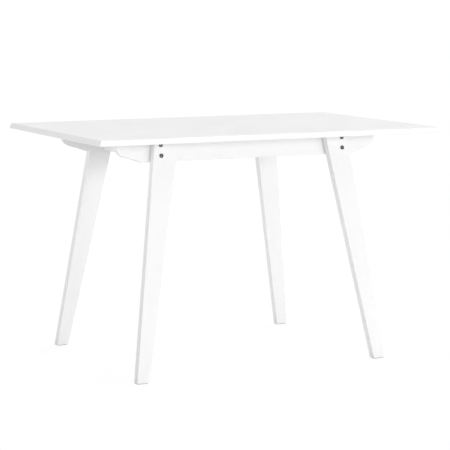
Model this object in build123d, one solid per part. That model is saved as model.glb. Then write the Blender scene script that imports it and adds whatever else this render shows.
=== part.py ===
from build123d import *
import os
from math import atan, cos, degrees, radians, sin

# A fixed-top table: a thin bevelled top on four canted rails, with four flat splayed legs
# bolted to the outsides of the two long rails. Millimetres, +Z up, +X along the long side,
# origin on the floor under the middle of the top.

# Overall sizes
table_height = 750
top_length = 1202
top_width = 766
base_shift_x = -25      # middle of the base from the middle of the top

# Top
top_thickness = 17
top_lip = 2.5           # upright band under the bevel
top_bevel = 6           # how far the bevel leans in
top_corner_radius = 3
top_ease = 0.8

# Legs, from the middle of the base
foot_outer_x = 441.5
foot_width = 39
foot_face_y = 340.5     # outer face of the leg at the floor
leg_rise_outer = 0.1383     # how far the outer edge leans in for each millimetre up
leg_rise_inner = 0.1937
leg_cant = 0.119            # the same, for the broad face
leg_thickness = 26
leg_ease = 1.5

# Long rails
rail_depth = 68
rail_thickness = 20
rail_half_length = 458.5
rail_ease = 1
scroll_flat_x = 373     # where the flat underside of the rail ends
scroll_drop = 15        # straight end of the rail above the scroll
scroll_radius = 36
scroll_slope = 14       # degrees, where the round meets the hollow

# End rails
end_rail_face_x = 311
end_rail_thickness = 20

# Leg bolts and their cap nuts
bolt_from_edge = 21     # upper bolt from the outer edge of the leg
bolt_upper_drop = 14    # bolt centres below the top, on the face of the leg
bolt_lower_drop = 47
bolt_diameter = 6
bolt_head_diameter = 13
bolt_head_height = 2
bolt_socket = 4
bolt_socket_depth = 1.4
bolt_reach = 14         # thread inside the rail
sleeve_diameter = 9
sleeve_length = 16

# Dowels between the rails
dowel_diameter = 8
dowel_in_rail = 11
dowel_in_end_rail = 20
dowel_inset_z = 17

# Corner blocks
block_leg = 52
block_height = 44
block_nose = 8
block_top_gap = 2
block_screw_x = 26      # screw positions, measured along each rail from the corner
block_grip = 14         # wood left under each screw head

# Brackets holding the top down
bracket_width = 20
bracket_arm = 26
bracket_thickness = 2
bracket_spacing = 190
bracket_hole_at = 17    # hole centre from the bend

# Wood screws
screw_diameter = 4
screw_head_diameter = 8
screw_head_height = 2.4
block_screw_reach = 12
bracket_screw_reach = 11
recess_width = 1.1
recess_length = 4.4
recess_depth = 1.4

# Glides
glide_thickness = 2
glide_inset = 1.5
glide_corner = 3
nail_diameter = 2
nail_head_diameter = 6
nail_head_height = 0.8
nail_length = 16
nail_sink = 0.5

# Fits
hole_clearance = 0.4
thread_clearance = 0.1
head_clearance = 1

# Derived
top_underside = table_height - top_thickness
rail_bottom = top_underside - rail_depth
cant = atan(leg_cant)
cant_sin = sin(cant)
cant_cos = cos(cant)
bolt_heights = (top_underside - bolt_upper_drop, top_underside - bolt_lower_drop)
bolt_x = foot_outer_x - bolt_heights[0] * leg_rise_outer - bolt_from_edge
foot_x = foot_outer_x - foot_width / 2
foot_y = -foot_face_y + leg_thickness / cant_cos / 2
frame_middle = Location((base_shift_x, 0, 0))


def board_plane(depth_in):
    """Plane of a front board face, depth_in millimetres behind the outer face of the legs."""
    outer = Plane(
        origin=(0, -foot_face_y, 0),
        x_dir=(1, 0, 0),
        z_dir=(0, -cant_cos, cant_sin),
    )
    return outer.offset(-depth_in)


def along_board(z, depth_in):
    """Distance up the canted board at height z on the face depth_in behind the leg face."""
    return (z + depth_in * cant_sin) / cant_cos


def face_y(z, depth_in):
    """Y of the front board face at height z."""
    return -foot_face_y + z * leg_cant + depth_in / cant_cos


rail_front = leg_thickness
rail_back = leg_thickness + rail_thickness
inner_y_top = face_y(top_underside, rail_back)


def slab(z_low, z_high):
    """Everything between two heights, for trimming canted boards level."""
    size = 2 * top_length
    return Pos(0, 0, (z_low + z_high) / 2) * Box(size, size, z_high - z_low)


def mirrored_y(shape):
    return mirror(shape, about=Plane.XZ)


def mirrored_x(shape):
    return mirror(shape, about=Plane.YZ)


def four_corners(shape):
    """Front left, front right, back left, back right copies of a front right shape."""
    left = mirrored_x(shape)
    return {
        "front_left": left,
        "front_right": shape,
        "back_left": mirrored_y(left),
        "back_right": mirrored_y(shape),
    }


def make_top():
    with BuildPart() as top:
        with BuildSketch(Plane.XY.offset(top_underside)):
            RectangleRounded(top_length, top_width, top_corner_radius)
        extrude(amount=top_lip)
        with BuildSketch(Plane.XY.offset(top_underside + top_lip)):
            RectangleRounded(top_length, top_width, top_corner_radius)
        bevel_rise = top_thickness - top_lip
        extrude(amount=bevel_rise, taper=degrees(atan(top_bevel / bevel_rise)))
        fillet(top.faces().sort_by(Axis.Z)[-1].edges(), top_ease)
        fillet(top.faces().sort_by(Axis.Z)[0].edges(), top_ease)
    return top.part


def make_leg():
    """Front right leg, before the holes."""
    outline = board_plane(0)
    high = table_height
    low = -leg_thickness
    outer_low = foot_outer_x - low * leg_rise_outer
    outer_high = foot_outer_x - high * leg_rise_outer
    inner_low = foot_outer_x - foot_width - low * leg_rise_inner
    inner_high = foot_outer_x - foot_width - high * leg_rise_inner
    with BuildPart() as leg:
        with BuildSketch(outline):
            with BuildLine():
                Polyline(
                    (inner_low, along_board(low, 0)),
                    (outer_low, along_board(low, 0)),
                    (outer_high, along_board(high, 0)),
                    (inner_high, along_board(high, 0)),
                    close=True,
                )
            make_face()
        extrude(amount=-leg_thickness)
        fillet(leg.edges().filter_by(lambda e: e.length > high / 2), leg_ease)
    return leg.part & slab(glide_thickness, top_underside)


def make_long_rail():
    """Front rail, before the holes."""
    flat_w = along_board(rail_bottom, rail_front)
    high_w = along_board(table_height, rail_front)
    belly_w = along_board(top_underside, rail_front) - scroll_drop
    turn = radians(90 - scroll_slope)
    centre_x = rail_half_length - scroll_radius
    mid = (
        centre_x + scroll_radius * cos(turn / 2),
        belly_w - scroll_radius * sin(turn / 2),
    )
    end = (
        centre_x + scroll_radius * cos(turn),
        belly_w - scroll_radius * sin(turn),
    )
    lean = radians(scroll_slope)
    with BuildPart() as rail:
        with BuildSketch(board_plane(rail_front)):
            with BuildLine():
                Line((0, high_w), (rail_half_length, high_w))
                Line((rail_half_length, high_w), (rail_half_length, belly_w))
                ThreePointArc((rail_half_length, belly_w), mid, end)
                TangentArc(end, (scroll_flat_x, flat_w), tangent=(-cos(lean), -sin(lean)))
                Line((scroll_flat_x, flat_w), (0, flat_w))
                mirror(about=Plane.YZ)
            make_face()
        extrude(amount=-rail_thickness)
        broad_faces = rail.faces().sort_by(SortBy.AREA)[-2:]
        fillet(broad_faces.edges(), rail_ease)
    return rail.part & slab(0, top_underside)


def between_rails():
    """The space between the inner faces of the long rails, up to the top."""
    low_y = face_y(0, rail_back)
    with BuildPart() as space:
        with BuildSketch(Plane.YZ.offset(-top_length)):
            with BuildLine():
                Polyline(
                    (low_y, 0),
                    (-low_y, 0),
                    (-inner_y_top, top_underside),
                    (inner_y_top, top_underside),
                    close=True,
                )
            make_face()
        extrude(amount=2 * top_length)
    return space.part


def make_end_rail():
    """Right end rail, before the holes."""
    middle = (end_rail_face_x - end_rail_thickness / 2, 0, top_underside - rail_depth / 2)
    board = Pos(*middle) * Box(end_rail_thickness, top_width, rail_depth)
    return board & between_rails()


def bolt_plane(z, depth_in):
    """Plane on a bolt axis, its z_dir pointing out of the leg face."""
    on_face = board_plane(0)
    point = on_face.from_local_coords((bolt_x, along_board(z, 0), -depth_in))
    return Plane(origin=point, x_dir=(1, 0, 0), z_dir=on_face.z_dir)


def rod(plane, diameter, start, end):
    """Cylinder along the plane's z_dir between two distances."""
    middle = Location((0, 0, (start + end) / 2))
    return plane.location * middle * Cylinder(diameter / 2, end - start)


def make_bolt(z):
    seat = bolt_plane(z, 0)
    head = rod(seat, bolt_head_diameter, 0, bolt_head_height)
    rim = head.edges().group_by(lambda e: round(seat.to_local_coords(e.center()).Z, 3))[-1]
    head = fillet(rim, bolt_head_height / 3)
    shank = rod(seat, bolt_diameter, -leg_thickness - bolt_reach, 0)
    with BuildPart(seat.offset(bolt_head_height)) as socket:
        with BuildSketch():
            RegularPolygon(bolt_socket / 2, 6, major_radius=False)
        extrude(amount=-bolt_socket_depth)
    return head + shank - socket.part


def make_cap_nut(z):
    seat = bolt_plane(z, rail_back)
    head = rod(seat, bolt_head_diameter, -bolt_head_height, 0)
    sleeve = rod(seat, sleeve_diameter, 0, sleeve_length)
    bore = rod(seat, bolt_diameter + thread_clearance, 0, sleeve_length)
    return head + sleeve - bore


def bolt_hole(z):
    """Clearance hole through the leg, with room for the sleeve in the rail."""
    seat = bolt_plane(z, 0)
    through = rod(seat, bolt_diameter + hole_clearance, -rail_back, 0)
    wide = rod(seat, sleeve_diameter + hole_clearance, -rail_back, -rail_front)
    return through + wide


def dowel_plane(z):
    """Plane on the inner face of the front rail, at an end rail; z_dir points out."""
    on_face = board_plane(rail_back)
    x = end_rail_face_x - end_rail_thickness / 2
    point = on_face.from_local_coords((x, along_board(z, rail_back), 0))
    return Plane(origin=point, x_dir=(1, 0, 0), z_dir=on_face.z_dir)


def make_dowel(z, clearance=0):
    plane = dowel_plane(z)
    extra = clearance / 2
    return rod(
        plane,
        dowel_diameter + clearance,
        -dowel_in_end_rail - extra,
        dowel_in_rail + extra,
    )


def screw_head():
    """Round head resting on z = 0, with a cross recess."""
    radius = screw_head_diameter / 2
    head = Pos(0, 0, screw_head_height / 2) * Cylinder(radius, screw_head_height)
    head = fillet(head.edges().sort_by(Axis.Z)[-1], screw_head_height / 2)
    cross = Box(recess_length, recess_width, recess_depth)
    cross += Box(recess_width, recess_length, recess_depth)
    return head - Pos(0, 0, screw_head_height - recess_depth / 2) * cross


def wood_screw(seat, length):
    """Screw with its head on the seat plane and its shank running back from it."""
    radius = screw_diameter / 2
    point_length = screw_diameter
    body = length - point_length
    shank = Pos(0, 0, -body / 2) * Cylinder(radius, body)
    point = Pos(0, 0, -body - point_length / 2) * Cone(radius / 4, radius, point_length)
    return seat.location * (screw_head() + shank + point)


def screw_hole(seat, grip, length):
    """Loose through the first piece, close in the second, with room for the head."""
    head_room = rod(seat, screw_head_diameter + head_clearance, 0, block_leg)
    loose = rod(seat, screw_diameter + hole_clearance, -grip, 0)
    close = rod(seat, screw_diameter + thread_clearance, -length - hole_clearance, -grip)
    return head_room + loose + close


def block_seats():
    """Screw seats of the front right corner block: into the end rail, into the long rail."""
    inner_x = end_rail_face_x - end_rail_thickness
    mid_z = top_underside - block_top_gap - block_height / 2
    into_end = Plane(
        origin=(inner_x - block_grip, inner_y_top + block_screw_x, mid_z),
        x_dir=(0, 1, 0),
        z_dir=(-1, 0, 0),
    )
    rail_face = board_plane(rail_back)
    point = rail_face.from_local_coords(
        (inner_x - block_screw_x, along_board(mid_z, rail_back), -block_grip))
    into_rail = Plane(origin=point, x_dir=(1, 0, 0), z_dir=-rail_face.z_dir)
    return [into_end, into_rail]


def make_block():
    """Front right corner block, before the holes."""
    inner_x = end_rail_face_x - end_rail_thickness
    top_z = top_underside - block_top_gap
    low_y = face_y(0, rail_back)
    with BuildPart() as block:
        with BuildSketch(Plane.XY.offset(top_z - block_height)):
            with BuildLine():
                Polyline(
                    (inner_x, low_y),
                    (inner_x, inner_y_top + block_leg),
                    (inner_x - block_nose, inner_y_top + block_leg),
                    (inner_x - block_leg, inner_y_top + block_nose),
                    (inner_x - block_leg, low_y),
                    close=True,
                )
            make_face()
        extrude(amount=block_height)
    return block.part & between_rails()


def make_bracket(lean):
    """Angle plate in a corner at the origin: one arm along +Y under z = 0, the other down
    a face that leans out by the angle given."""
    across = Vector(0, cos(lean), -sin(lean))
    down = Vector(0, -sin(lean), -cos(lean))
    inside_drop = bracket_thickness * (1 - sin(lean)) / cos(lean)
    points = [
        Vector(0, 0, 0),
        Vector(0, bracket_arm, 0),
        Vector(0, bracket_arm, -bracket_thickness),
        across * bracket_thickness + down * inside_drop,
        across * bracket_thickness + down * bracket_arm,
        down * bracket_arm,
    ]
    with BuildPart() as bracket:
        with BuildSketch(Plane.YZ.offset(-bracket_width / 2)):
            with BuildLine():
                Polyline(*[(p.Y, p.Z) for p in points], close=True)
            make_face()
        extrude(amount=bracket_width)
    return bracket.part


def bracket_seats(lean):
    """Screw seats on a bracket at the origin: up into the top, out into the rail."""
    across = Vector(0, cos(lean), -sin(lean))
    down = Vector(0, -sin(lean), -cos(lean))
    into_top = Plane(
        origin=(0, bracket_hole_at, -bracket_thickness),
        x_dir=(1, 0, 0),
        z_dir=(0, 0, -1),
    )
    into_rail = Plane(
        origin=across * bracket_thickness + down * bracket_hole_at,
        x_dir=(1, 0, 0),
        z_dir=across,
    )
    return into_top, into_rail


def bracket_places():
    """Where the brackets stand: pairs of location and rail lean."""
    inner_x = end_rail_face_x - end_rail_thickness
    places = []
    for side, turn in ((1, 0), (-1, 180)):
        for step in (-1, 0, 1):
            spot = Pos(step * bracket_spacing, side * inner_y_top, top_underside)
            places.append((spot * Rot(0, 0, turn), cant))
        places.append((Pos(side * inner_x, 0, top_underside) * Rot(0, 0, side * 90), 0))
    return places


def make_glide():
    """Front right pad, before the nail hole."""
    with BuildPart() as glide:
        with BuildSketch(Location((foot_x, foot_y, 0))):
            RectangleRounded(
                foot_width - 2 * glide_inset,
                leg_thickness - 2 * glide_inset,
                glide_corner,
            )
        extrude(amount=glide_thickness)
    return glide.part


def make_nail(clearance=0):
    seat = Plane(origin=(foot_x, foot_y, nail_sink), x_dir=(1, 0, 0), z_dir=(0, 0, 1))
    head = rod(seat, nail_head_diameter + clearance, -nail_sink * bool(clearance),
               nail_head_height)
    shank = rod(seat, nail_diameter + clearance, 0, nail_length + clearance)
    return head + shank


def drill(part, cuts):
    box = part.bounding_box()
    for cut in cuts:
        other = cut.bounding_box()
        apart = (
            other.min.X > box.max.X or other.max.X < box.min.X
            or other.min.Y > box.max.Y or other.max.Y < box.min.Y
            or other.min.Z > box.max.Z or other.max.Z < box.min.Z
        )
        if not apart:
            part = part - cut
    return part


def solids(shape):
    """Every solid of one shape or of a list of shapes."""
    shapes = shape if isinstance(shape, list) else [shape]
    return [solid for item in shapes for solid in item.solids()]


dowel_heights = (top_underside - dowel_inset_z, rail_bottom + dowel_inset_z)
block_screw_length = block_grip + block_screw_reach
bracket_screw_length = bracket_thickness + bracket_screw_reach

# Holes
corner_cuts = [bolt_hole(z) for z in bolt_heights]
corner_cuts += [make_dowel(z, hole_clearance) for z in dowel_heights]
corner_cuts += [screw_hole(seat, block_grip, block_screw_length) for seat in block_seats()]
corner_cuts.append(make_nail(thread_clearance))
cuts = [copy for cut in corner_cuts for copy in four_corners(cut).values()]
for place, lean in bracket_places():
    for seat in bracket_seats(lean):
        hole = screw_hole(seat, bracket_thickness, bracket_screw_length)
        cuts.append(place * hole)

# Pieces
front_rail = make_long_rail()
end_rail = make_end_rail()
nodes = {
    "front_rail": drill(front_rail, cuts),
    "back_rail": drill(mirrored_y(front_rail), cuts),
    "right_end_rail": drill(end_rail, cuts),
    "left_end_rail": drill(mirrored_x(end_rail), cuts),
}
for corner, leg in four_corners(make_leg()).items():
    nodes["leg_" + corner] = drill(leg, cuts)
for corner, block in four_corners(make_block()).items():
    nodes["corner_block_" + corner] = drill(block, cuts)


def group(shapes):
    return [copy for shape in shapes for copy in four_corners(shape).values()]


nodes["leg_bolts"] = group([make_bolt(z) for z in bolt_heights])
nodes["cap_nuts"] = group([make_cap_nut(z) for z in bolt_heights])
nodes["rail_dowels"] = group([make_dowel(z) for z in dowel_heights])
nodes["block_screws"] = group([wood_screw(seat, block_screw_length) for seat in block_seats()])
nodes["foot_glides"] = group([drill(make_glide(), cuts)])
nodes["glide_nails"] = group([make_nail()])

brackets = []
top_screws = []
rail_screws = []
for place, lean in bracket_places():
    into_top, into_rail = bracket_seats(lean)
    brackets.append(drill(place * make_bracket(lean), cuts))
    top_screws.append(place * wood_screw(into_top, bracket_screw_length))
    rail_screws.append(place * wood_screw(into_rail, bracket_screw_length))
nodes["top_brackets"] = brackets
nodes["bracket_top_screws"] = top_screws
nodes["bracket_rail_screws"] = rail_screws

# The base stands off the middle of the top, so the top alone is drilled in place.
nodes = {name: frame_middle * Compound(solids(shape)) for name, shape in nodes.items()}
nodes["top"] = drill(make_top(), [frame_middle * cut for cut in cuts])

os.makedirs("parts", exist_ok=True)
for name, shape in nodes.items():
    export_step(shape, "parts/" + name + ".step")
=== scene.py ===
from math import atan, cos, radians, sin, tan
import bpy
from mathutils import Euler, Matrix, Vector


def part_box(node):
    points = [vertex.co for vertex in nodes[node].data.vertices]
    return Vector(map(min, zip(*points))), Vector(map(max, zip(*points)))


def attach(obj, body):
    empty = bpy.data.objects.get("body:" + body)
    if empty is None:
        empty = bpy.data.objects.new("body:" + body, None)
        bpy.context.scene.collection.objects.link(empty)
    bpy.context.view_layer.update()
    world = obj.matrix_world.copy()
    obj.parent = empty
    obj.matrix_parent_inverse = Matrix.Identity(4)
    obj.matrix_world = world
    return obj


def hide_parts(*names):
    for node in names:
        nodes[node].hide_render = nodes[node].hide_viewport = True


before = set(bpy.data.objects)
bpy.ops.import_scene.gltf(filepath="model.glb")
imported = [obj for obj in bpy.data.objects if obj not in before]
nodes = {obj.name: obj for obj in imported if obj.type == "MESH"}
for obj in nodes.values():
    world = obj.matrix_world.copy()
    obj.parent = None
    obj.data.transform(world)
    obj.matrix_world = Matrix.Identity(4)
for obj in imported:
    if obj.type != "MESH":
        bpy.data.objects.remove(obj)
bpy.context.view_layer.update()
mm = 0.001
tiny = 0.01 * mm  # points nearer than this are in the same place
smoothUnder = 32  # degrees between two faces that shade as one surface
crownDepth = 0.1 * mm  # what lies this near a head's highest point is its crown
print("frame loaded:", len(nodes), "nodes")


# the camera comes first, so every look at the model is through the same lens
camera = {
    "place": (-2.6077, -5.1043, 1.1994),
    "heading": 27.11,  # degrees from +Y towards +X
    "down": 7.74,
    "roll": 0.13,
    "lens": 140.49,
    "sensor": 36,
    "far": 2000,
}
bpy.ops.object.camera_add(location=camera["place"])
cam = bpy.context.object
turn = Euler((0, 0, -radians(camera["heading"]))).to_matrix()
turn = turn @ Euler((radians(90 - camera["down"]), 0, 0)).to_matrix()
turn = turn @ Euler((0, 0, radians(camera["roll"]))).to_matrix()
cam.rotation_euler = turn.to_euler()
cam.data.lens = camera["lens"]
cam.data.sensor_width = camera["sensor"]
cam.data.clip_end = camera["far"]
bpy.context.scene.camera = cam
bpy.context.scene.view_settings.view_transform = "Standard"
print("camera set")


def selectNothing():
    if bpy.context.object and bpy.context.object.mode != "OBJECT":
        bpy.ops.object.mode_set(mode="OBJECT")
    bpy.ops.object.select_all(action="DESELECT")


def workOn(piece):
    selectNothing()
    piece.select_set(True)
    bpy.context.view_layer.objects.active = piece


def startPicking(piece, kind):
    # leaves the piece in object mode with nothing on it chosen
    workOn(piece)
    bpy.ops.object.mode_set(mode="EDIT")
    bpy.ops.mesh.select_mode(type=kind)
    bpy.ops.mesh.select_all(action="DESELECT")
    bpy.ops.object.mode_set(mode="OBJECT")


def pickFaces(piece, wanted):
    # wanted(centre, normal) says which; ends in edit mode
    startPicking(piece, "FACE")
    for face in piece.data.polygons:
        face.select = wanted(face.center, face.normal)
    bpy.ops.object.mode_set(mode="EDIT")


def done():
    bpy.ops.object.mode_set(mode="OBJECT")


def roundEdges(piece, wanted, width, segments):
    # wanted(one end, other end) says which edges
    startPicking(piece, "EDGE")
    points = piece.data.vertices
    for edge in piece.data.edges:
        first, second = edge.vertices
        edge.select = wanted(points[first].co, points[second].co)
    bpy.ops.object.mode_set(mode="EDIT")
    bpy.ops.mesh.bevel(offset=width, segments=segments, profile=0.5, affect="EDGES")
    done()


def newCube(place, size):
    selectNothing()
    bpy.ops.mesh.primitive_cube_add(size=1, location=place, scale=size)
    bpy.ops.object.transform_apply(location=True, scale=True)
    return bpy.context.object


def cut(piece, cutter):
    workOn(piece)
    cutting = piece.modifiers.new("cut", "BOOLEAN")
    cutting.operation = "DIFFERENCE"
    cutting.solver = "EXACT"
    cutting.object = cutter
    bpy.ops.object.modifier_apply(modifier=cutting.name)
    bpy.data.objects.remove(cutter)


def drill(piece, radius, depth, middle, sides, turned=(0, 0, 0)):
    selectNothing()
    bpy.ops.mesh.primitive_cylinder_add(
        vertices=sides, radius=radius, depth=depth, location=middle, rotation=turned)
    cut(piece, bpy.context.object)


def bakeInPlace(piece, matrix):
    # moves the mesh itself, so the object stays at the origin
    piece.matrix_world = matrix
    workOn(piece)
    bpy.ops.object.transform_apply(location=True, rotation=True, scale=True)


def finishPiece(piece, name, node, material):
    workOn(piece)
    bpy.ops.object.mode_set(mode="EDIT")
    bpy.ops.mesh.select_all(action="SELECT")
    bpy.ops.mesh.remove_doubles(threshold=tiny)
    bpy.ops.mesh.normals_make_consistent(inside=False)
    bpy.ops.object.mode_set(mode="OBJECT")
    bpy.ops.object.shade_smooth_by_angle(angle=radians(smoothUnder))
    piece.name = name
    piece.data.name = name
    piece.data.materials.clear()
    piece.data.materials.append(material)
    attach(piece, "root")
    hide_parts(node)


def copyOf(piece):
    workOn(piece)
    bpy.ops.object.duplicate(linked=False)
    return bpy.context.object


def roundedMiddle(points):
    # to the millimetre, so that no order hangs on a rounding error
    middle = sum(points, Vector()) / len(points)
    return tuple(round(value, 3) for value in middle)


def looseSolids(name):
    # the points of each separate solid of a CAD node that holds several
    selectNothing()
    sorting = bpy.data.objects.new("sorting", nodes[name].data.copy())
    bpy.context.collection.objects.link(sorting)
    workOn(sorting)
    bpy.ops.object.mode_set(mode="EDIT")
    bpy.ops.mesh.select_all(action="SELECT")
    bpy.ops.mesh.remove_doubles(threshold=tiny)
    bpy.ops.mesh.separate(type="LOOSE")
    bpy.ops.object.mode_set(mode="OBJECT")
    parts = list(bpy.context.selected_objects)
    found = [[point.co.copy() for point in part.data.vertices] for part in parts]
    for part in parts:
        bpy.data.objects.remove(part)
    return sorted(found, key=roundedMiddle)


def boxOf(points):
    low = Vector([min(point[i] for point in points) for i in range(3)])
    high = Vector([max(point[i] for point in points) for i in range(3)])
    return low, high


def headPlaces(name, axes):
    # middle of each head's outer face, and the way it faces
    places = []
    for points in looseSolids(name):
        narrowest = None
        for axis in axes:
            side = axis.orthogonal().normalized()
            up = axis.cross(side)
            a = [p.dot(side) for p in points]
            b = [p.dot(up) for p in points]
            width = max(a) - min(a) + max(b) - min(b)
            if narrowest is None or width < narrowest[0]:
                core = side * (max(a) + min(a)) / 2 + up * (max(b) + min(b)) / 2
                narrowest = (width, axis, core)
        width, axis, core = narrowest
        headEdge = width / 4 * 0.9  # the width is two diameters added up
        along = [p.dot(axis) for p in points]
        wide = [d for p, d in zip(points, along) if (p - core - axis * d).length > headEdge]
        if sum(wide) / len(wide) < (max(along) + min(along)) / 2:
            axis = -axis
            along = [-d for d in along]
        places.append((core + axis * max(along), axis))
    return places


def spread(model, name, node, material, places, spinStep=37):
    # one copy on each place, each turned a little differently about its own axis
    for count, (place, axis) in enumerate(places, 1):
        piece = copyOf(model)
        stand = Matrix.Translation(place) @ axis.to_track_quat("Z", "Y").to_matrix().to_4x4()
        bakeInPlace(piece, stand @ Matrix.Rotation(radians(spinStep * count), 4, "Z"))
        finishPiece(piece, name + "_" + str(count), node, material)
    bpy.data.objects.remove(model)


def newMaterial(name):
    material = bpy.data.materials.new(name)
    material.use_nodes = True
    tree = material.node_tree
    return material, tree, tree.nodes["Principled BSDF"]


def add(tree, kind, settings=None, **links):
    node = tree.nodes.new(kind)
    for key, value in (settings or {}).items():
        if key in node.inputs:
            node.inputs[key].default_value = value
        else:
            setattr(node, key, value)
    for key, source in links.items():
        tree.links.new(source, node.inputs[key])
    return node


def objectCoords(tree):
    return add(tree, "ShaderNodeTexCoord").outputs["Object"]


def noise(tree, vector, scale, detail=3.0, rough=0.5, twist=0.0):
    node = add(tree, "ShaderNodeTexNoise", {
        "Scale": scale, "Detail": detail, "Roughness": rough, "Distortion": twist,
    }, Vector=vector)
    return node.outputs["Fac"]


def spanOf(tree, value, fromLow, fromHigh, toLow, toHigh):
    node = add(tree, "ShaderNodeMapRange", {
        "From Min": fromLow, "From Max": fromHigh, "To Min": toLow, "To Max": toHigh,
    }, Value=value)
    return node.outputs["Result"]


def calculate(tree, operation, first, second):
    node = add(tree, "ShaderNodeMath", {"operation": operation})
    tree.links.new(first, node.inputs[0])
    tree.links.new(second, node.inputs[1])
    return node.outputs[0]


def mixColours(tree, factor, low, high):
    node = tree.nodes.new("ShaderNodeMix")
    node.data_type = "RGBA"
    tree.links.new(factor, node.inputs["Factor"])
    colourSockets = [socket for socket in node.inputs if socket.type == "RGBA"]
    for socket, colour in zip(colourSockets, (low, high)):
        if isinstance(colour, tuple):
            socket.default_value = colour
        else:
            tree.links.new(colour, socket)
    return next(socket for socket in node.outputs if socket.type == "RGBA")


def varyRoughness(tree, shader, pattern, atLow, atHigh):
    # the middle of a noise's range is where nearly all of it lies
    tree.links.new(spanOf(tree, pattern, 0.3, 0.7, atLow, atHigh), shader.inputs["Roughness"])


def bumps(tree, shader, layers):
    # layers are (pattern, depth in metres), coarsest first
    last = None
    for pattern, depth in layers:
        node = add(tree, "ShaderNodeBump", {"Strength": 1.0, "Distance": depth}, Height=pattern)
        if last:
            tree.links.new(last, node.inputs["Normal"])
        last = node.outputs["Normal"]
    tree.links.new(last, shader.inputs["Normal"])


def stretched(tree, coords, turned, cell):
    # coordinates turned to a board's length, one unit per cell
    node = add(tree, "ShaderNodeMapping", {"vector_type": "TEXTURE"}, Vector=coords)
    node.inputs["Rotation"].default_value = turned
    node.inputs["Scale"].default_value = cell
    return node.outputs["Vector"]


def coverWith(name, material):
    nodes[name].data.materials.clear()
    nodes[name].data.materials.append(material)


# grain values are cells per metre
paint = {
    "light": (0.868, 0.868, 0.868, 1),
    "shade": (0.838, 0.838, 0.838, 1),
    "cloudGrain": 3.5,
    "figureShare": 0.18,  # how much the boards' figure shows in the tone
    "roughness": (0.36, 0.50),
    "sheenGrain": 14,
    "coat": 0.06,
    "coatRoughness": 0.25,
    "fibre": 0.9 * mm,  # across the grain
    "fibreLength": 45 * mm,
    "fibreHeight": 0.022 * mm,
    "poreShade": (0.79, 0.79, 0.785, 1),
    "poreShare": 0.22,
    "poreHeight": 0.035 * mm,
    "sprayGrain": 620,  # orange peel
    "peelHeight": 0.010 * mm,
    "scuff": (0.62, 0.61, 0.60, 1),
    "scuffShare": 0.3,
    "scuffGrain": 190,
    "scuffHeight": 45 * mm,  # the feet are marked up to here
}


def paintedWood(name, along, turned=(0, 0, 0)):
    material, tree, shader = newMaterial(name)
    coords = objectCoords(tree)
    cell = [paint["fibre"]] * 3
    cell["XYZ".index(along)] = paint["fibreLength"]
    grainAt = stretched(tree, coords, turned, cell)
    fibre = noise(tree, grainAt, 1.0, 5.0, 0.6, 0.4)
    figure = noise(tree, grainAt, 0.08, 2.0, 0.5, 1.2)  # broad bands of the wood under the paint
    pores = spanOf(tree, noise(tree, grainAt, 2.6, 2.0), 0.62, 0.72, 0, 1)
    peel = noise(tree, coords, paint["sprayGrain"], 2.0)
    cloud = noise(tree, coords, paint["cloudGrain"])
    bands = spanOf(tree, figure, 0.3, 0.7, -paint["figureShare"], paint["figureShare"])
    tone = calculate(tree, "ADD", cloud, bands)
    colour = mixColours(tree, tone, paint["shade"], paint["light"])
    inPores = spanOf(tree, pores, 0, 1, 0, paint["poreShare"])
    colour = mixColours(tree, inPores, colour, paint["poreShade"])
    height = add(tree, "ShaderNodeSeparateXYZ", Vector=coords).outputs["Z"]
    nearFloor = spanOf(tree, height, 0, paint["scuffHeight"], 1, 0)
    scrapes = noise(tree, coords, paint["scuffGrain"], 5.0, 0.7)
    scuffs = calculate(tree, "MULTIPLY", nearFloor,
                       spanOf(tree, scrapes, 0.58, 0.66, 0, paint["scuffShare"]))
    colour = mixColours(tree, scuffs, colour, paint["scuff"])
    tree.links.new(colour, shader.inputs["Base Color"])
    sheen = noise(tree, coords, paint["sheenGrain"], 4.0, 0.6)
    varyRoughness(tree, shader, sheen, *paint["roughness"])
    shader.inputs["Coat Weight"].default_value = paint["coat"]
    shader.inputs["Coat Roughness"].default_value = paint["coatRoughness"]
    sunk = spanOf(tree, pores, 0, 1, 1, 0)
    bumps(tree, shader, [
        (fibre, paint["fibreHeight"]),
        (sunk, paint["poreHeight"]),
        (peel, paint["peelHeight"]),
    ])
    return material


leg = {
    "outerRise": 0.1383,  # how far an edge leans in for each unit up
    "innerRise": 0.1937,
    "faceRise": 0.119,
}
splay = atan((leg["outerRise"] + leg["innerRise"]) / 2)  # a leg's middle line, from the front
cant = atan(leg["faceRise"])  # and from the end
boardPaint = paintedWood("paintLongways", "X")
endPaint = paintedWood("paintCrossways", "Y")
for name in ("top", "front_rail", "back_rail"):
    coverWith(name, boardPaint)
for name in ("left_end_rail", "right_end_rail"):
    coverWith(name, endPaint)
for depth, front in (("front", 1), ("back", -1)):
    for end, right in (("left", -1), ("right", 1)):
        turned = (-front * cant, -right * splay, 0)
        legPaint = paintedWood("paintLeg" + depth.title() + end.title(), "Z", turned)
        coverWith("leg_" + depth + "_" + end, legPaint)
print("painted boards and legs")


beech = {
    "pale": (0.66, 0.47, 0.29, 1),
    "warm": (0.55, 0.36, 0.20, 1),
    "fleck": (0.36, 0.21, 0.11, 1),
    "fleckShare": 0.7,
    "fibreShare": 0.45,
    "roughness": (0.55, 0.75),
    "fibre": 1.1 * mm,
    "fibreLength": 28 * mm,
    "fleckLength": 3.2 * mm,
    "fleckWidth": 0.35 * mm,
    "grooveHeight": 0.06 * mm,
}


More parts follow.
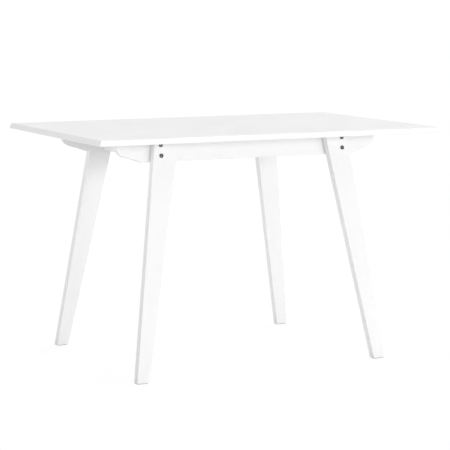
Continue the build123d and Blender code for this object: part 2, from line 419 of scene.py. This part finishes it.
def bareWood(name, heading):
    # heading is the grain's direction on the level, in degrees from X
    material, tree, shader = newMaterial(name)
    coords = objectCoords(tree)
    turned = (0, 0, radians(heading))
    fibreCell = (beech["fibreLength"], beech["fibre"], beech["fibre"])
    fleckCell = (beech["fleckLength"], beech["fleckWidth"], beech["fleckWidth"])
    fibreAt = stretched(tree, coords, turned, fibreCell)
    fleckAt = stretched(tree, coords, turned, fleckCell)
    fibre = noise(tree, fibreAt, 1.0, 5.0, 0.65, 0.5)
    rings = noise(tree, fibreAt, 0.12, 2.0, 0.5, 1.5)
    flecks = spanOf(tree, noise(tree, fleckAt, 1.0, 1.0), 0.62, 0.70, 0, beech["fleckShare"])
    colour = mixColours(tree, spanOf(tree, rings, 0.3, 0.7, 0, 1), beech["pale"], beech["warm"])
    darkFibre = spanOf(tree, fibre, 0.45, 0.75, 0, beech["fibreShare"])
    colour = mixColours(tree, darkFibre, colour, beech["warm"])
    colour = mixColours(tree, flecks, colour, beech["fleck"])
    tree.links.new(colour, shader.inputs["Base Color"])
    varyRoughness(tree, shader, fibre, *beech["roughness"])
    bumps(tree, shader, [(fibre, beech["grooveHeight"])])
    return material


blockWood = bareWood("beechBlocks", 45)
blockWoodMirrored = bareWood("beechBlocksMirrored", -45)
dowelWood = bareWood("beechDowels", 90)
coverWith("corner_block_front_left", blockWood)
coverWith("corner_block_back_right", blockWood)
coverWith("corner_block_front_right", blockWoodMirrored)
coverWith("corner_block_back_left", blockWoodMirrored)
coverWith("rail_dowels", dowelWood)
print("bare wood on blocks and dowels")


coatedSteel = {
    "dark": (0.070, 0.070, 0.073, 1),
    "light": (0.115, 0.115, 0.120, 1),
    "bare": (0.46, 0.46, 0.48, 1),  # where the key has rubbed the coat thin; round the sockets of the bolts and cap nuts it is also a painted highlight that lightens the heads' middles
    "metallic": 0.75,
    "roughness": (0.34, 0.52),
    "patchGrain": 420,
    "grain": 2600,
    "grainHeight": 0.012 * mm,
}
zincPlate = {
    "dark": (0.50, 0.51, 0.53, 1),
    "light": (0.72, 0.73, 0.75, 1),
    "bare": (0.80, 0.81, 0.82, 1),
    "metallic": 0.95,
    "roughness": (0.24, 0.42),
    "patchGrain": 420,
    "grain": 1800,
    "grainHeight": 0.006 * mm,
}


def steel(name, finish):
    # "rubbed" is painted on each piece's points: 1 where the bare metal shows most; on the bolt
    # and cap nut heads it also paints a highlight round the socket
    material, tree, shader = newMaterial(name)
    coords = objectCoords(tree)
    rubbed = add(tree, "ShaderNodeAttribute", {"attribute_name": "rubbed"}).outputs["Fac"]
    patches = noise(tree, coords, finish["patchGrain"], 4.0, 0.6)
    fine = noise(tree, coords, finish["grain"], 3.0, 0.6)
    patchTone = spanOf(tree, patches, 0.3, 0.7, 0, 1)
    colour = mixColours(tree, patchTone, finish["dark"], finish["light"])
    worn = calculate(tree, "MULTIPLY", rubbed, spanOf(tree, fine, 0.35, 0.6, 0.35, 1))
    colour = mixColours(tree, worn, colour, finish["bare"])
    tree.links.new(colour, shader.inputs["Base Color"])
    smoothest, roughest = finish["roughness"]
    varyRoughness(tree, shader, patches, roughest, smoothest)
    shader.inputs["Metallic"].default_value = finish["metallic"]
    bumps(tree, shader, [(fine, finish["grainHeight"])])
    return material


def rub(piece, amount, wanted):
    # how far the finish is rubbed at the wanted points, 0 to 1
    layer = piece.data.attributes.new("rubbed", "FLOAT", "POINT")
    for point in piece.data.vertices:
        layer.data[point.index].value = amount if wanted(point.co) else 0.0


darkSteel = steel("darkCoatedSteel", coatedSteel)
zinc = steel("brightZinc", zincPlate)

plastic = {
    "light": (0.42, 0.42, 0.42, 1),
    "dark": (0.34, 0.34, 0.34, 1),
    "roughness": (0.5, 0.68),
    "mottleGrain": 160,
    "sparkGrain": 2400,  # the mould's fine texture
    "sparkHeight": 0.02 * mm,
}


def mouldedPlastic(name):
    material, tree, shader = newMaterial(name)
    coords = objectCoords(tree)
    mottle = noise(tree, coords, plastic["mottleGrain"], 4.0, 0.6)
    spark = noise(tree, coords, plastic["sparkGrain"], 2.0)
    mottleTone = spanOf(tree, mottle, 0.3, 0.7, 0, 1)
    colour = mixColours(tree, mottleTone, plastic["dark"], plastic["light"])
    tree.links.new(colour, shader.inputs["Base Color"])
    varyRoughness(tree, shader, mottle, *plastic["roughness"])
    bumps(tree, shader, [(spark, plastic["sparkHeight"])])
    return material


greyPlastic = mouldedPlastic("greyPlastic")


# every fastener is modelled upright, with its head's outer face at z 0
def fromAxis(point):
    return Vector((point.x, point.y)).length


def startHead(size):
    selectNothing()
    bpy.ops.mesh.primitive_cylinder_add(
        vertices=size["sides"], radius=size["headRadius"], depth=size["headHeight"],
        location=(0, 0, -size["headHeight"] / 2))
    bpy.ops.object.transform_apply(location=True)
    return bpy.context.object


def pushDown(length):
    bpy.ops.mesh.extrude_region_move(TRANSFORM_OT_translate={"value": (0, 0, -length)})


def widen(share, height):
    bpy.ops.transform.resize(value=(share, share, 1), center_override=(0, 0, height))


def growShank(piece, size, radius, length):
    # leaves its end face chosen, and gives that face's height
    pickFaces(piece, lambda centre, normal: normal.z < -0.9)
    bpy.ops.mesh.inset(thickness=size["headRadius"] - radius)
    pushDown(length)
    return -size["headHeight"] - length


def cutThread(size, start, turns):
    # rings on down from the chosen end face, which stands at start
    core, crest, step = size["core"], size["radius"], size["pitch"] / 2
    z = start - step / 2
    pushDown(step / 2)
    widen(core / crest, z)
    for ring in range(turns):
        for share in (crest / core, core / crest):
            z -= step
            pushDown(step)
            widen(share, z)
    return z


def roundRim(piece, size, width, segments):
    def onRim(*ends):
        return all(abs(p.z) < tiny and abs(fromAxis(p) - size["headRadius"]) < tiny for p in ends)
    roundEdges(piece, onRim, width, segments)


bolt = {
    "headRadius": 6.5 * mm,
    "headHeight": 2 * mm,
    "rim": 0.9 * mm,
    "socket": 4 * mm,  # across the flats
    "socketDepth": 1.4 * mm,
    "socketEase": 0.15 * mm,
    "radius": 3 * mm,
    "plain": 26 * mm,  # unthreaded, through the leg
    "pitch": 1 * mm,
    "core": 2.6 * mm,
    "turns": 13,
    "sides": 48,
}


def shapeBoltHead(piece, socketDepth):
    # the bolt and its cap nut have the same head
    corner = bolt["socket"] / 2 / cos(radians(30))
    nearSocket = corner + 0.1 * mm

    def atSocket(*ends):
        return all(p.z > -tiny and fromAxis(p) < nearSocket for p in ends)

    roundRim(piece, bolt, bolt["rim"], 5)
    drill(piece, corner, 2 * socketDepth, (0, 0, 0), 6)
    roundEdges(piece, atSocket, bolt["socketEase"], 2)
    # lighter bare metal round the socket: key wear, and also a painted highlight that lightens
    # the head's middle as a reflection would
    wearAndHighlightTo = nearSocket + bolt["socketEase"] / 2
    rub(piece, 1.0, lambda p: fromAxis(p) < wearAndHighlightTo and p.z > -bolt["headHeight"])


def makeBolt():
    piece = startHead(bolt)
    end = growShank(piece, bolt, bolt["radius"], bolt["plain"])
    cutThread(bolt, end, bolt["turns"])
    done()
    shapeBoltHead(piece, bolt["socketDepth"])
    return piece


frontOut = Vector((0, -cos(cant), sin(cant)))
backOut = Vector((0, cos(cant), sin(cant)))
boltPlaces = headPlaces("leg_bolts", (frontOut, backOut))
spread(makeBolt(), "leg_bolt", "leg_bolts", darkSteel, boltPlaces)
print("leg bolts in")

capNut = {
    "sleeve": 4.5 * mm,
    "sleeveLength": 16 * mm,
    "bore": 3.05 * mm,
    "boreDepth": 15 * mm,
    "socketDepth": 1.1 * mm,
}


def makeCapNut():
    piece = startHead(bolt)
    growShank(piece, bolt, capNut["sleeve"], capNut["sleeveLength"])
    bpy.ops.mesh.inset(thickness=capNut["sleeve"] - capNut["bore"])
    pushDown(-capNut["boreDepth"])
    done()
    shapeBoltHead(piece, capNut["socketDepth"])
    return piece


nutPlaces = headPlaces("cap_nuts", (frontOut, backOut))
spread(makeCapNut(), "cap_nut", "cap_nuts", darkSteel, nutPlaces)
print("cap nuts in")

woodScrew = {
    "headRadius": 4 * mm,
    "headHeight": 2.4 * mm,
    "dome": 1.7 * mm,
    "rubbed": 0.8,
    "rubbedRim": 0.2 * mm,
    "radius": 2 * mm,
    "core": 1.45 * mm,
    "pitch": 1.5 * mm,
    "neck": 2.0 * mm,
    "crossLength": 4.4 * mm,
    "crossWidth": 1.1 * mm,
    "crossDepth": 1.4 * mm,
    "crossTaper": 0.5,
    "pointLength": 4 * mm,
    "pointTaper": 0.3,
    "sides": 32,
}


def cutCross(piece):
    depth = 2 * woodScrew["crossDepth"]  # half of each cutter stands above the head
    for size in ((woodScrew["crossLength"], woodScrew["crossWidth"], depth),
                 (woodScrew["crossWidth"], woodScrew["crossLength"], depth)):
        cutter = newCube((0, 0, 0), size)
        pickFaces(cutter, lambda centre, normal: normal.z < -0.9)
        widen(woodScrew["crossTaper"], 0)
        done()
        cut(piece, cutter)


def makeScrew(length):
    piece = startHead(woodScrew)
    neckEnd = growShank(piece, woodScrew, woodScrew["radius"], woodScrew["neck"])
    threaded = length - woodScrew["pointLength"] - woodScrew["neck"] - woodScrew["pitch"] / 4
    threadEnd = cutThread(woodScrew, neckEnd, int(threaded / woodScrew["pitch"]))
    pushDown(woodScrew["headHeight"] + length + threadEnd)
    widen(woodScrew["pointTaper"], threadEnd)
    done()
    roundRim(piece, woodScrew, woodScrew["dome"], 6)
    cutCross(piece)
    rimInside = woodScrew["headRadius"] - woodScrew["rubbedRim"]
    rub(piece, woodScrew["rubbed"], lambda p: p.z > -crownDepth or fromAxis(p) > rimInside)
    return piece


down = Vector((0, 0, -1))
along = Vector((1, 0, 0))
sideways = (frontOut, backOut, along)
for name, length, ways, spinStep in (
    ("block_screw", 26 * mm, sideways, 37),
    ("bracket_top_screw", 13 * mm, (down,), 53),
    ("bracket_rail_screw", 13 * mm, sideways, 71),
):
    node = name + "s"
    spread(makeScrew(length), name, node, zinc, headPlaces(node, ways), spinStep)
print("wood screws in")

bracket = {
    "width": 20 * mm,
    "arm": 26 * mm,
    "thickness": 2 * mm,
    "holeAt": 17 * mm,
    "holeRadius": 2.3 * mm,
    "holeSides": 24,
    "corner": 4 * mm,
    "bend": 1.4 * mm,
    "ease": 0.2 * mm,
    "rubbed": 0.6,
    "rubbedEdge": 0.25 * mm,
}


def makeBracket(lean):
    # one arm along +Y under z 0, the other down a face that leans back by the angle given
    thick, arm, half = bracket["thickness"], bracket["arm"], bracket["width"] / 2
    holeAt, holeRadius, holeSides = bracket["holeAt"], bracket["holeRadius"], bracket["holeSides"]
    piece = newCube((0, thick / 2, -thick / 2), (bracket["width"], thick, thick))
    pickFaces(piece, lambda centre, normal: normal.y > 0.9)
    bpy.ops.mesh.extrude_region_move(TRANSFORM_OT_translate={"value": (0, arm - thick, 0)})
    pickFaces(piece, lambda centre, normal: normal.z < -0.9 and centre.y < thick)
    bpy.ops.transform.translate(value=(0, -thick * tan(lean), 0))
    fall = arm * cos(lean) - thick
    bpy.ops.mesh.extrude_region_move(
        TRANSFORM_OT_translate={"value": (0, -fall * tan(lean), -fall)})
    done()

    def throughPlate(a, b):
        return abs(a.x - b.x) < tiny

    def upperCorner(a, b):
        return throughPlate(a, b) and min(a.y, b.y) > arm - tiny

    def lowerCorner(a, b):
        return throughPlate(a, b) and max(a.z, b.z) < -fall - thick + tiny

    def outerBend(a, b):
        return all(abs(p.y) < tiny and abs(p.z) < tiny for p in (a, b))

    roundEdges(piece, upperCorner, bracket["corner"], 6)
    roundEdges(piece, lowerCorner, bracket["corner"], 6)
    roundEdges(piece, outerBend, bracket["bend"], 5)
    drill(piece, holeRadius, 3 * thick, (0, holeAt, -thick / 2), holeSides)
    lowerHole = Vector((0, -sin(lean), -cos(lean))) * holeAt
    drill(piece, holeRadius, 4 * thick, lowerHole, holeSides, (radians(90) - lean, 0, 0))
    workOn(piece)
    ease = piece.modifiers.new("ease", "BEVEL")
    ease.width = bracket["ease"]
    ease.segments = 2
    ease.limit_method = "ANGLE"
    ease.angle_limit = radians(50)
    bpy.ops.object.modifier_apply(modifier=ease.name)
    inside = bracket["rubbedEdge"]
    rub(piece, bracket["rubbed"], lambda p: abs(p.x) > half - inside or p.y > arm - inside)
    return piece


longRailBracket, endRailBracket = makeBracket(cant), makeBracket(0)
railLow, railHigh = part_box("front_rail")
railMiddle = (railLow.x + railHigh.x) / 2
for count, points in enumerate(looseSolids("top_brackets"), 1):
    low, high = boxOf(points)
    middle = (low + high) / 2
    if high.x - low.x > bracket["width"] * 1.1:  # its arms run along X, on an end rail
        piece = copyOf(endRailBracket)
        side = 1 if middle.x > railMiddle else -1
        corner = Vector((high.x if side > 0 else low.x, middle.y, high.z))
        turned = 90 * side
    else:
        piece = copyOf(longRailBracket)
        front = middle.y < 0
        bendY = high.y - bracket["arm"] if front else low.y + bracket["arm"]
        corner = Vector((middle.x, bendY, high.z))
        turned = 0 if front else 180
    bakeInPlace(piece, Matrix.Translation(corner) @ Matrix.Rotation(radians(turned), 4, "Z"))
    finishPiece(piece, "top_bracket_" + str(count), "top_brackets", zinc)
for model in (longRailBracket, endRailBracket):
    bpy.data.objects.remove(model)
print("top brackets in")

glide = {
    "length": 36 * mm,
    "width": 23 * mm,
    "thickness": 2 * mm,
    "corner": 3 * mm,
    "lip": 0.7 * mm,
    "recess": 3.05 * mm,
    "recessDepth": 1.3 * mm,
    "hole": 1.05 * mm,
}


def makeGlide():
    # its underside is at z 0
    thick, sunk = glide["thickness"], glide["recessDepth"]
    piece = newCube((0, 0, thick / 2), (glide["length"], glide["width"], thick))
    roundEdges(piece, lambda a, b: abs(a.z - b.z) > thick / 2, glide["corner"], 8)
    roundEdges(piece, lambda a, b: max(a.z, b.z) < tiny, glide["lip"], 4)
    drill(piece, glide["recess"], sunk + thick, (0, 0, (sunk - thick) / 2), 32)
    drill(piece, glide["hole"], 2 * thick, (0, 0, thick), 24)
    return piece


glideModel = makeGlide()
for count, points in enumerate(looseSolids("foot_glides"), 1):
    low, high = boxOf(points)
    middle = (low + high) / 2
    piece = copyOf(glideModel)
    bakeInPlace(piece, Matrix.Translation((middle.x, middle.y, low.z)))
    finishPiece(piece, "foot_glide_" + str(count), "foot_glides", greyPlastic)
bpy.data.objects.remove(glideModel)

nail = {
    "headRadius": 3 * mm,
    "headHeight": 0.8 * mm,
    "dome": 0.5 * mm,
    "rubbed": 0.7,
    "radius": 1 * mm,
    "length": 15.2 * mm,
    "point": 2 * mm,
    "pointTaper": 0.15,
    "sides": 32,
}


def makeNail():
    piece = startHead(nail)
    end = growShank(piece, nail, nail["radius"], nail["length"] - nail["point"])
    pushDown(nail["point"])
    widen(nail["pointTaper"], end)
    done()
    roundRim(piece, nail, nail["dome"], 4)
    rub(piece, nail["rubbed"], lambda p: p.z > -crownDepth)
    return piece


nailPlaces = headPlaces("glide_nails", (down,))
spread(makeNail(), "glide_nail", "glide_nails", zinc, nailPlaces)
print("glides and nails in")


studio = {
    "floorSize": 1600,
    "floorShare": 0.90,  # how much of the white sweep shows over the shadows
    "floorWhite": 1.03,
    "floorColour": (0.80, 0.80, 0.80, 1),
    "toothGrain": 900,  # the paper's surface
    "toothHeight": 0.05 * mm,
    "sky": 0.49,
}
selectNothing()
bpy.ops.mesh.primitive_plane_add(size=studio["floorSize"], location=(0, 0, 0))
floor = bpy.context.object
floor.name = "floor"
floorPaper, tree, shader = newMaterial("floorPaper")
tooth = noise(tree, objectCoords(tree), studio["toothGrain"], 2.0)
shader.inputs["Base Color"].default_value = studio["floorColour"]
shader.inputs["Specular IOR Level"].default_value = 0
shader.inputs["Roughness"].default_value = 1
bumps(tree, shader, [(tooth, studio["toothHeight"])])
seen = add(tree, "ShaderNodeLightPath").outputs["Is Camera Ray"]
share = spanOf(tree, seen, 0, 1, 0, studio["floorShare"])
glow = add(tree, "ShaderNodeEmission", {"Strength": studio["floorWhite"]})
sweep = add(tree, "ShaderNodeMixShader")
tree.links.new(share, sweep.inputs[0])
tree.links.new(shader.outputs["BSDF"], sweep.inputs[1])
tree.links.new(glow.outputs["Emission"], sweep.inputs[2])
tree.links.new(sweep.outputs["Shader"], tree.nodes["Material Output"].inputs["Surface"])
floor.data.materials.append(floorPaper)

world = bpy.data.worlds.new("softRoom")
bpy.context.scene.world = world
world.use_nodes = True
room = world.node_tree.nodes["Background"]
room.inputs["Color"].default_value = (1, 1, 1, 1)
room.inputs["Strength"].default_value = studio["sky"]

# each lamp: strength, spread, height above the floor, and side from -Y towards +X, in degrees
lamps = {
    "overheadLight": (0.72, 20, 90, 0),
    "frontLight": (0.96, 14, 6.5, 12),
    "frontSideLight": (0.38, 16, 5, 35),
    "rightLight": (0.40, 30, 45, 45),
    "leftLight": (0.84, 30, 7, -90),
    "backLight": (1.60, 30, 30, 120),
}
for name, (strength, spreadAngle, height, side) in lamps.items():
    selectNothing()
    bpy.ops.object.light_add(type="SUN", location=(0, 0, 3))
    lamp = bpy.context.object
    lamp.name = name
    lamp.rotation_euler = (radians(90 - height), 0, radians(side))
    lamp.data.energy = strength
    lamp.data.angle = radians(spreadAngle)
    lamp.visible_glossy = not name.startswith("front")  # keeps low glare off the top
print("studio ready")
